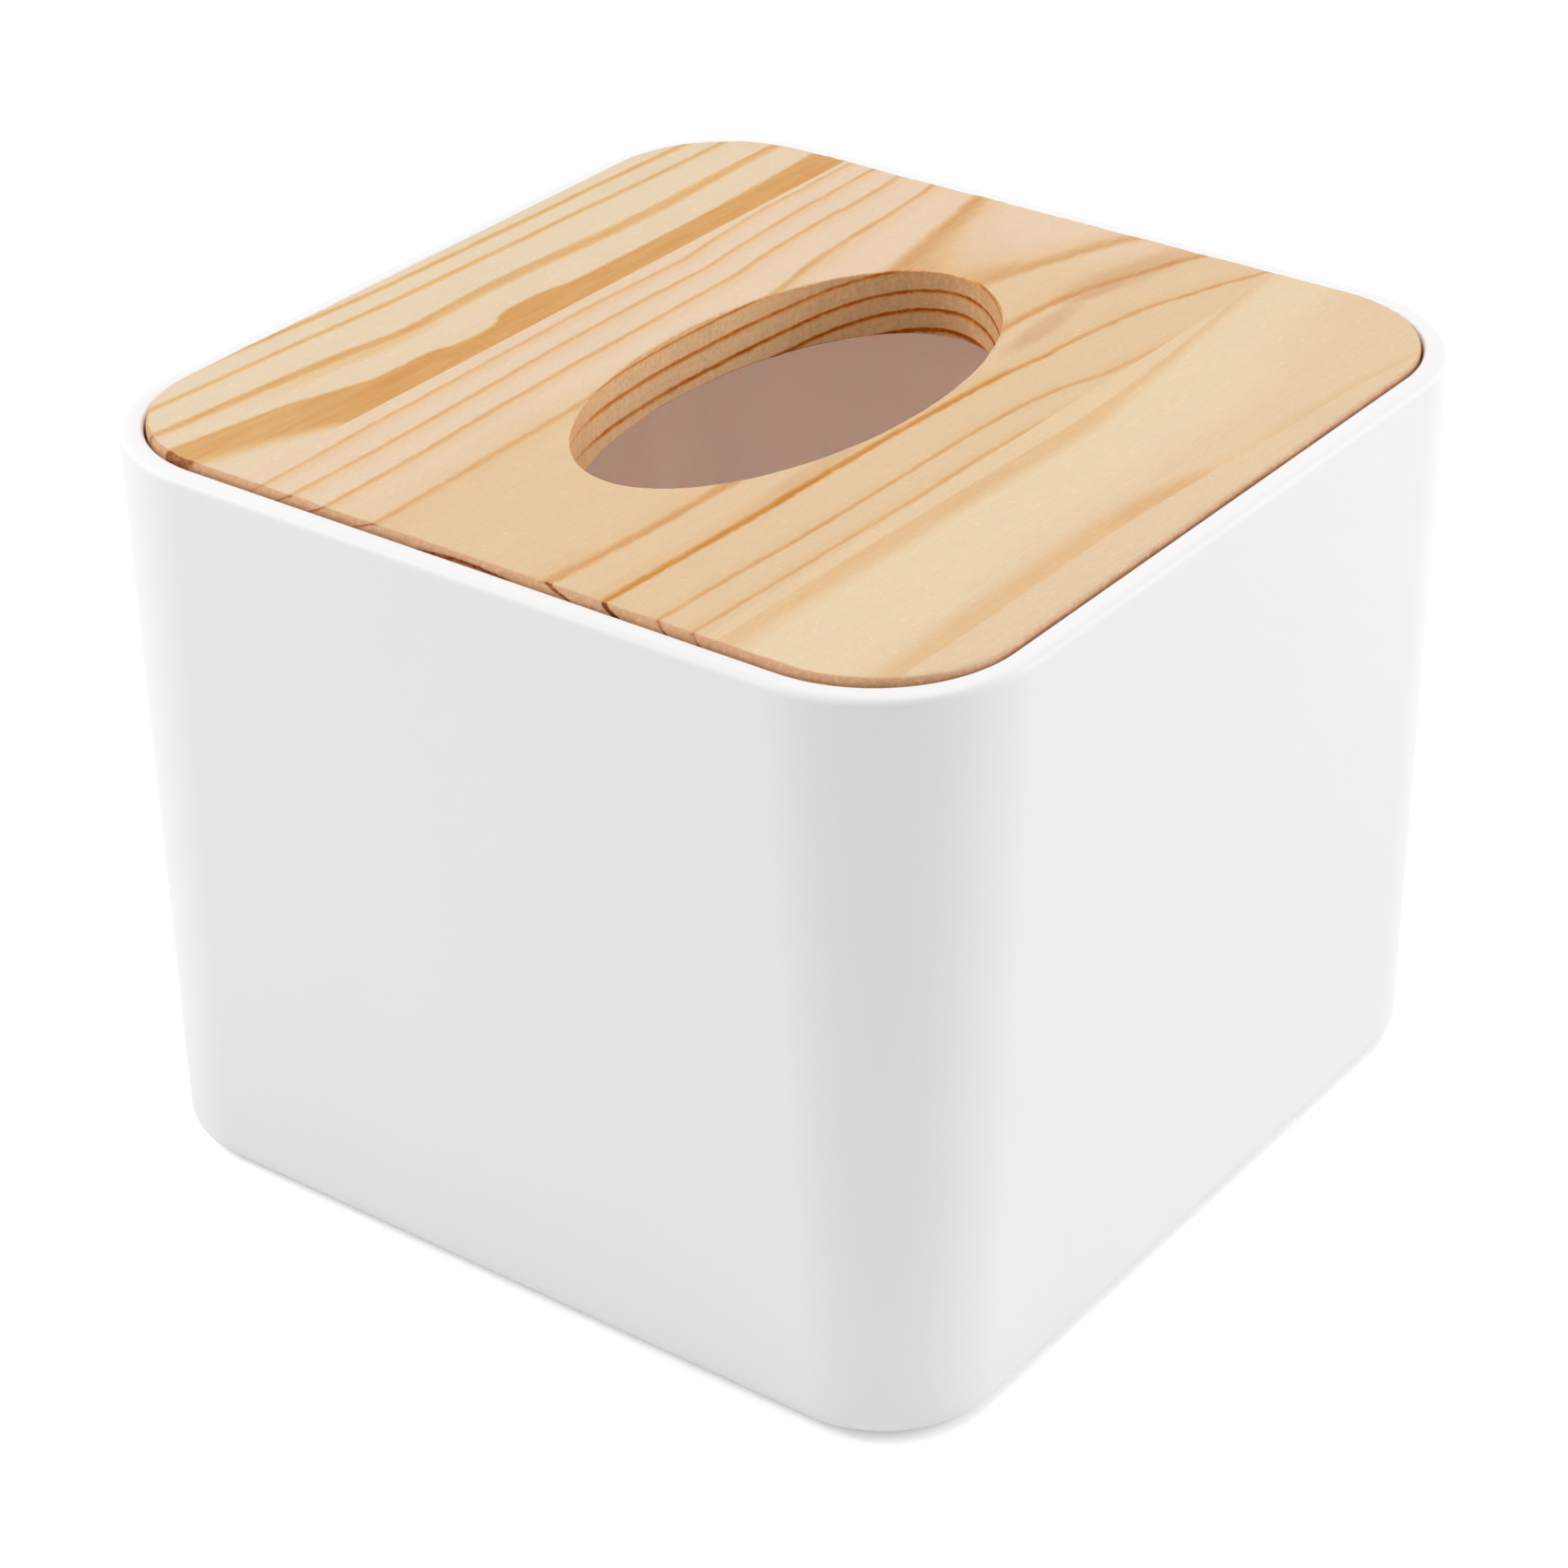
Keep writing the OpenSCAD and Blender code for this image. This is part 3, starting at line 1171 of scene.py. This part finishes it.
@dataclass
class Lid:
    """The lid: three pine boards glued edge to edge, with an oval slot in the middle one."""

    half: float = 61.6
    corner_r: float = 18.1
    thickness: float = 9.0
    under_z: float = 93.2
    # The top edge is rounded by hand, and most at the front
    end_edge_r: float = 1.1
    back_edge_r: float = 0.5
    front_edge_r: float = 1.2
    under_edge_r: float = 0.5
    back_joint_y: float = 35.9
    front_joint_y: float = -33.1
    slot_l: float = 73.7
    slot_w: float = 38.6
    slot_end_r: float = 0.3
    slot_side_r: float = 0.4
    corner_steps: int = 44
    round_steps: int = 5
    loop_points: int = 640
    edge_spacing: float = 0.7
    joint_spacing: float = 2.8
    sharp_angle: float = 50.0
    # Sanding by hand leaves the rounded edges uneven: slow waves, and small chips at the fibres
    sanding: float = 0.25
    sanding_length: float = 6.0
    chips: float = 0.25
    chip_length: float = 0.9
    # No place loses more than this share of its radius
    most_uneven: float = 0.8
    # Two numbers that differ by less than this are equal
    touch: float = 1e-6

    @property
    def top_z(self) -> float:
        """Height of the lid's top."""
        return self.under_z + self.thickness

    def rounding(self, edge: Edge, end_r: float, side_r: float) -> list[float]:
        """Works out the radius of a rounded edge along it, never above its full radius.

        Args:
            edge: The edge's line.
            end_r: Its full radius where it faces along the grain.
            side_r: Its full radius where it faces across the grain.

        Returns:
            A radius for each point.
        """
        radii = []
        for (x, y), (along, _) in zip(edge.points, edge.outward):
            full = side_r + (end_r - side_r) * along * along
            slow = noise.noise(Vector((x, y, end_r)) / self.sanding_length)
            quick = noise.noise(Vector((x, y, side_r)) / self.chip_length)
            # Both noises are about 0, so half of each share is missing on average
            missing = self.sanding * (0.5 + slow) + self.chips * (0.5 + quick)
            radii.append(full * (1 - min(max(missing, 0.0), self.most_uneven)))
        return radii

    def rounded_rings(self, edge: Edge, end_r: float, side_r: float, upper: bool) -> list[Ring]:
        """Rounds a lid edge, from the underside or upright part up or in over it.

        Args:
            edge: The edge's line.
            end_r: The full radius where it faces along the grain.
            side_r: The full radius where it faces across the grain.
            upper: True for the upper edge, which is left upright and ends level.

        Returns:
            The rings of the rounding, going up.
        """
        radii = self.rounding(edge, end_r, side_r)
        rings = []
        for across, up in quarter_round(1.0, self.round_steps, Start.UPRIGHT if upper else Start.LEVEL):
            if upper:
                insets = [r * across for r in radii]
                heights = [self.top_z - r * (1 - up) for r in radii]
            else:
                insets = [r * (1 - across) for r in radii]
                heights = [self.under_z + r * up for r in radii]
            rings.append(edge.ring(insets, heights))
        return rings

    def outer_edge(self, side: Side) -> Edge:
        """Draws the outline of the back or the front board.

        Args:
            side: Which board.

        Returns:
            Its outline, with no way out on the glue joint.
        """
        joint_y = self.back_joint_y if side is Side.BACK else self.front_joint_y
        sign = float(side.value)
        centre = self.half - self.corner_r
        short = abs(centre - abs(joint_y))
        short_steps = max(2, round(short / self.edge_spacing))
        long_steps = round(centre / self.edge_spacing)
        joint_steps = round(2 * self.half / self.joint_spacing)
        turns = [math.pi / 2 * k / self.corner_steps for k in range(self.corner_steps + 1)]
        right: list[tuple[Flat, Flat]] = []
        for k in range(short_steps):
            right.append(((self.half, joint_y + sign * short * k / short_steps), (1.0, 0.0)))
        for a in turns:
            c, s = math.cos(a), math.sin(a)
            right.append(((centre + self.corner_r * c, sign * (centre + self.corner_r * s)), (c, sign * s)))
        for k in range(1, long_steps):
            right.append(((centre * (1 - k / long_steps), sign * self.half), (0.0, sign)))
        left = [((-x, y), (-out_x, out_y)) for (x, y), (out_x, out_y) in reversed(right)]
        joint: list[tuple[Flat, Flat]] = []
        for k in range(1, joint_steps):
            joint.append(((-self.half + 2 * self.half * k / joint_steps, joint_y), (0.0, 0.0)))
        line = [*right, ((0.0, sign * self.half), (0.0, sign)), *left, *joint]
        points, outward = zip(*(line if side is Side.BACK else reversed(line)))
        return Edge(points, outward)

    def build_outer_board(self, name: str, side: Side) -> Object:
        """Builds the back or the front board.

        Args:
            name: The piece's name.
            side: Which board.

        Returns:
            The board.
        """
        edge = self.outer_edge(side)
        under = self.rounded_rings(edge, self.under_edge_r, self.under_edge_r, upper=False)
        side_r = self.back_edge_r if side is Side.BACK else self.front_edge_r
        upper = self.rounded_rings(edge, self.end_edge_r, side_r, upper=True)
        return loft(name, under + upper, Ends.CAPPED, self.sharp_angle)

    def middle_edges(self) -> tuple[Edge, Edge]:
        """Draws the outline of the middle board and the line of its slot, point for point.

        Returns:
            The outline and the slot, whose way out of the wood points to the slot's middle.
        """
        outline: list[tuple[Flat, Flat]] = []
        slot: list[tuple[Flat, Flat]] = []
        for k in range(self.loop_points):
            a = 2 * math.pi * k / self.loop_points
            c, s = math.cos(a), math.sin(a)
            reach = 1 / max(abs(c), abs(s))
            joint_y = self.back_joint_y if s > 0 else -self.front_joint_y
            on_end = abs(c) * reach > 1 - self.touch
            outline.append((
                (self.half * c * reach, joint_y * s * reach),
                (math.copysign(1.0, c), 0.0) if on_end else (0.0, 0.0),
            ))
            away = Vector((self.slot_w * c, self.slot_l * s)).normalized()
            slot.append(((self.slot_l / 2 * c, self.slot_w / 2 * s), (-away.x, -away.y)))
        return Edge(*zip(*outline)), Edge(*zip(*slot))

    def build_middle_board(self, name: str) -> Object:
        """Builds the middle board, from its underside up its ends and down through the slot.

        Args:
            name: The piece's name.

        Returns:
            The board.
        """
        outline, slot = self.middle_edges()
        rings = self.rounded_rings(outline, self.under_edge_r, self.under_edge_r, upper=False)
        rings += self.rounded_rings(outline, self.end_edge_r, self.end_edge_r, upper=True)
        for upper in (True, False):
            rings += reversed(self.rounded_rings(slot, self.slot_end_r, self.slot_side_r, upper))
        return loft(name, rings, Ends.JOINED, self.sharp_angle)

    def pine_back(self) -> SandedPine:
        """The back board's wood: two lines, a band, a broad dark band and a faint golden one."""
        bands = (
            grain_line(
                along_grain(64.0, (-25, 60.6), (0, 59.15), (30, 58.7), (52, 58.15), last=58.0),
                0.9, 0.56, 0.7, 1.0,
            ),
            grain_line(
                along_grain(58.9, (-53, 58.0), (-39, 57.2), (-25, 56.5), (-8, 55.4), (0, 55.2), (30, 54.75),
                            (52, 54.2), last=54.1),
                0.9, 0.52, 0.7, 1.1,
            ),
            GrainBand(
                along_grain(53.9, (-56, 52.9), (-48, 52.2), (-40, 51.6), (-33, 51.0), (-27, 50.3),
                            (-22, 49.4), (-17, 48.8), (0, 49.2), (30, 48.0), (52, 48.2), last=48.1),
                along_grain(52.7, (-56, 51.7), (-48, 50.8), (-40, 49.9), (-33, 49.2), (-27, 48.4),
                            (-22, 47.5), (-17, 47.0), (0, 47.2), (30, 45.9), (52, 46.5), last=46.4),
                along_grain(0.5, (-25, 0.6), (0, 0.5), last=0.54),
                0.9, 1.5,
            ),
            GrainBand(
                along_grain(48.8, (-51.4, 46.9), (-44, 45.6), (-38.6, 43.9), (-34, 42.5), (-30, 41.6),
                            (-21, 41.1), (-17, 40.0), (-13, 39.8), (-9.6, 40.1), (-6.8, 41.5), (-3, 41.9),
                            (3, 41.4), (8, 40.6), (30, 40.5), (46, 40.9), last=41.4),
                along_grain(42.6, (-57, 41.4), (-53, 40.2), (-48, 38.2), (-43, 35.6), (-38, 32.0),
                            last=32.0),
                along_grain(0.6, (-45, 0.64), (-25, 0.76), (-10, 0.74), last=0.7),
                0.9, 4.5,
            ),
            GrainBand(
                along_grain(53.2, (-48, 51.4), (-40, 50.7), (-33, 50.0), (-22, 48.4), (-12, 47.8),
                            last=47.8),
                along_grain(51.2, (-48, 49.0), (-40, 47.9), (-33, 47.2), (-22, 46.0), (-12, 45.6),
                            last=46.0),
                along_grain(0.0, (-45, 0.06), (-34, 0.2), (-22, 0.24), (-12, 0.08), (0, 0.0), last=0.0),
                1.0, 1.6,
            ),
        )
        return SandedPine(
            "sanded_pine_back", FlatRings(bands), "#DDC7AA", "#DDC6A7", warm_from=62.0, warm_to=36.0,
            seed=3.0, tones=((0.3, "#DAB480"), (0.7, "#CD995B"), (1.0, "#C98841"), (1.7, "#AC5D1D")),
        )

    def pine_middle(self) -> SandedPine:
        """The middle board's wood: rings that run down into the slot, with resin stains."""
        stains = (
            Stain(50.0, -17.5, 36.0, 8.0, -12.0, 0.32),
            Stain(43.0, -17.4, 18.0, 3.0, -12.0, 0.42),
            Stain(29.0, -17.8, 26.0, 4.5, 4.0, 0.36),
            Stain(-22.0, -18.6, 34.0, 4.5, 2.0, 0.2),
        )
        return SandedPine(
            "sanded_pine_middle", RoundRings(), "#DFC4A8", "#DABC96", warm_from=20.0, warm_to=13.0,
            warm_shift=along_grain(0.0, (10, 0.0), (40, -22.0), last=-30.0), stains=stains, seed=11.0,
        )

    def pine_front(self) -> SandedPine:
        """The front board's wood: plain, with a soft band at the joint and one at the front."""
        bands = (
            GrainBand(
                along_grain(-34.6, (-34, -35.0), (-20, -35.4), (-4, -35.9), (4, -36.1), (20, -35.7),
                            (41, -34.2), (52, -32.9), last=-31.9),
                along_grain(-37.4, (-34, -38.2), (-20, -38.4), (-4, -38.9), (4, -39.0), (20, -37.6),
                            (41, -35.2), (52, -33.8), last=-32.6),
                along_grain(0.26, (-10, 0.3), (20, 0.28), (45, 0.3), last=0.3),
                0.7, 2.6,
            ),
            GrainBand(
                along_grain(-30.0, last=-30.0),
                along_grain(-38.5, (-4, -38.0), (20, -37.0), (41, -35.5), last=-33.6),
                along_grain(0.14, (20, 0.1), last=0.08),
                0.7, 3.0,
            ),
            GrainBand(
                along_grain(-53.4, (-34, -52.8), (-14, -53.1), (1, -54.6), (8, -55.9), (18, -56.8),
                            (33, -57.8), (46, -59.5), last=-61.5),
                along_grain(-55.6, (-34, -55.8), (-14, -56.0), (1, -56.8), (8, -57.2), (18, -57.9),
                            (33, -58.8), (46, -60.3), last=-62.2),
                along_grain(0.2, (-50, 0.26), (-20, 0.3), (2, 0.42), (9, 0.16), (25, 0.22), last=0.2),
                2.8, 0.5,
            ),
        )
        return SandedPine(
            "sanded_pine_front", FlatRings(bands), "#E1CAA6", "#DDC19E", warm_from=-46.0, warm_to=-53.0,
            warm_shift=along_grain(0.0, (20, 0.0), (40, 3.0), last=8.0), seed=23.0,
        )

    def build(self) -> dict[Slot, Object]:
        """Builds the three boards.

        Returns:
            The boards by the slot of their finish.
        """
        return {
            Slot.PINE_BACK: self.build_outer_board("board_back", Side.BACK),
            Slot.PINE_MIDDLE: self.build_middle_board("board_middle"),
            Slot.PINE_FRONT: self.build_outer_board("board_front", Side.FRONT),
        }

    def dress(self, boards: dict[Slot, Object]) -> None:
        """Gives each board its wood and its place.

        Args:
            boards: The boards by the slot of their finish.
        """
        woods = {
            Slot.PINE_BACK: (self.pine_back(), "lid_board_back"),
            Slot.PINE_MIDDLE: (self.pine_middle(), "lid_board_middle"),
            Slot.PINE_FRONT: (self.pine_front(), "lid_board_front"),
        }
        for slot, board in boards.items():
            wood, node = woods[slot]
            place(board, Body.LID, node, wood.material(self.top_z))


def direction(azimuth: float, elevation: float) -> Vector:
    """Gives the unit vector from the part towards a place round it.

    Args:
        azimuth: Degrees round the part, 0 in front of it and 90 at +X.
        elevation: Degrees above the horizon.

    Returns:
        The unit vector.
    """
    a, e = math.radians(azimuth), math.radians(elevation)
    return Vector((math.sin(a) * math.cos(e), -math.cos(a) * math.cos(e), math.sin(e)))


@dataclass(frozen=True)
class Softbox:
    """A large soft lamp that shines at the object.

    Azimuth is 0 in front of the part, towards -Y, and turns towards +X. Distances are metres.
    """

    name: str
    azimuth: float
    elevation: float
    distance: float
    size: float
    watts: float

    def build(self, target: Vector) -> None:
        """Sets up the lamp.

        Args:
            target: The point that it shines at.
        """
        lamp = bpy.data.lights.new(self.name, "AREA")
        lamp.shape = "DISK"
        lamp.size = self.size
        lamp.energy = self.watts
        holder = add_object(self.name, lamp)
        away = direction(self.azimuth, self.elevation)
        holder.location = target + away * self.distance
        holder.rotation_mode = "QUATERNION"
        holder.rotation_quaternion = (-away).to_track_quat("-Z", "Y")


@dataclass
class Studio:
    """A plain white studio, in metres: floor, pale surroundings and three soft lamps."""

    floor_size: float = 8.0
    # The floor lies this far under the foot, so that their faces don't meet in one plane
    floor_drop: float = 0.0002
    floor_colour: str = "#FAFAFA"
    # How much whiter the floor looks to the camera than the lamps make it
    floor_lift: float = 0.25
    ambient: float = 0.56
    lamps: tuple[Softbox, ...] = (
        Softbox("lamp_top", 45.0, 77.0, 1.2, 0.5, 3.5),
        Softbox("lamp_left", -150.0, 38.0, 1.0, 0.4, 3.7),
        Softbox("lamp_right", 45.0, 16.0, 1.2, 0.6, 4.5),
    )
    target: Vector = field(default_factory=lambda: Vector((0.0, 0.0, 0.05)))

    def build(self) -> None:
        """Sets up the floor, the surroundings and the lamps."""
        self.build_floor()
        self.build_surroundings()
        for lamp in self.lamps:
            lamp.build(self.target)

    def build_floor(self) -> None:
        """Lays a plain white floor that keeps the object's shadow."""
        half = self.floor_size / 2
        mesh = bpy.data.meshes.new("studio_floor")
        outline = [(-half, -half, 0.0), (half, -half, 0.0), (half, half, 0.0), (-half, half, 0.0)]
        mesh.from_pydata(outline, [], [(0, 1, 2, 3)])
        floor = add_object("studio_floor", mesh)
        floor.location.z = -self.floor_drop
        material, tree = new_material("studio_paper")
        paper = add_node(tree, "ShaderNodeBsdfDiffuse", {}, {"Color": linear(self.floor_colour)})
        lift = add_node(tree, MATH, MULTIPLY, {0: self.seen_directly(tree), 1: self.floor_lift})
        glow = add_node(tree, "ShaderNodeEmission", {}, {"Strength": lift})
        both = add_node(tree, "ShaderNodeAddShader", {}, {0: paper, 1: glow})
        add_node(tree, OUTPUT, {}, {"Surface": both})
        mesh.materials.append(material)

    def seen_directly(self, tree: NodeTree) -> Node:
        """Tells whether a ray comes from the camera, a reflection or clear material.

        Args:
            tree: The node tree.

        Returns:
            The node that gives 1 for such a ray and 0 for light that falls on the object.
        """
        path = add_node(tree, "ShaderNodeLightPath").outputs
        first = add_node(tree, MATH, MAXIMUM, {0: path["Is Camera Ray"], 1: path["Is Glossy Ray"]})
        return add_node(tree, MATH, MAXIMUM, {0: first, 1: path["Is Transmission Ray"]})

    def build_surroundings(self) -> None:
        """Makes the surroundings white to look at and softer as a light."""
        world = bpy.data.worlds.new("white_studio")
        world.use_nodes = True
        tree = world.node_tree
        tree.nodes.clear()
        seen = self.seen_directly(tree)
        strength = add_node(tree, MAP_RANGE, {}, {"Value": seen, "To Min": self.ambient})
        white = linear("#FFFFFF")
        background = add_node(tree, "ShaderNodeBackground", {}, {"Color": white, "Strength": strength})
        add_node(tree, "ShaderNodeOutputWorld", {}, {"Surface": background})
        bpy.context.scene.world = world


@dataclass(frozen=True)
class Viewpoint:
    """The camera, by its place round a point of the part, in degrees and millimetres."""

    azimuth: float = -53.04
    elevation: float = 30.25
    roll: float = -0.88
    distance: float = 523.9
    target: Point = (-10.24, -5.41, 50.0)
    lens: float = 94.03
    sensor: float = 36.0
    nearest: float = 10.0
    farthest: float = 20000.0

    def build(self) -> None:
        """Sets up the scene's camera."""
        data = bpy.data.cameras.new("camera")
        data.lens = self.lens
        data.sensor_width = self.sensor
        data.clip_start = self.nearest * MM
        data.clip_end = self.farthest * MM
        camera = add_object("camera", data)
        back = direction(self.azimuth, self.elevation)
        camera.location = (Vector(self.target) + back * self.distance) * MM
        camera.rotation_mode = "QUATERNION"
        roll = Quaternion((0.0, 0.0, 1.0), math.radians(self.roll))
        camera.rotation_quaternion = (-back).to_track_quat("-Z", "Y") @ roll
        bpy.context.scene.camera = camera


def main() -> None:
    """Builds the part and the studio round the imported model."""
    logging.basicConfig(level=logging.INFO, format="%(message)s")
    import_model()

    tub = Tub()
    shell = tub.build()
    tub.dress(shell)
    LOG.info("%s: %d faces", shell.name, len(shell.data.polygons))

    lid = Lid()
    boards = lid.build()
    lid.dress(boards)
    for board in boards.values():
        LOG.info("%s: %d faces", board.name, len(board.data.polygons))

    Studio().build()
    Viewpoint().build()
    bpy.context.scene.view_settings.view_transform = "Standard"
    LOG.info("studio and camera are set up")

    bpy.context.view_layer.update()


if __name__ == "__main__":
    main()
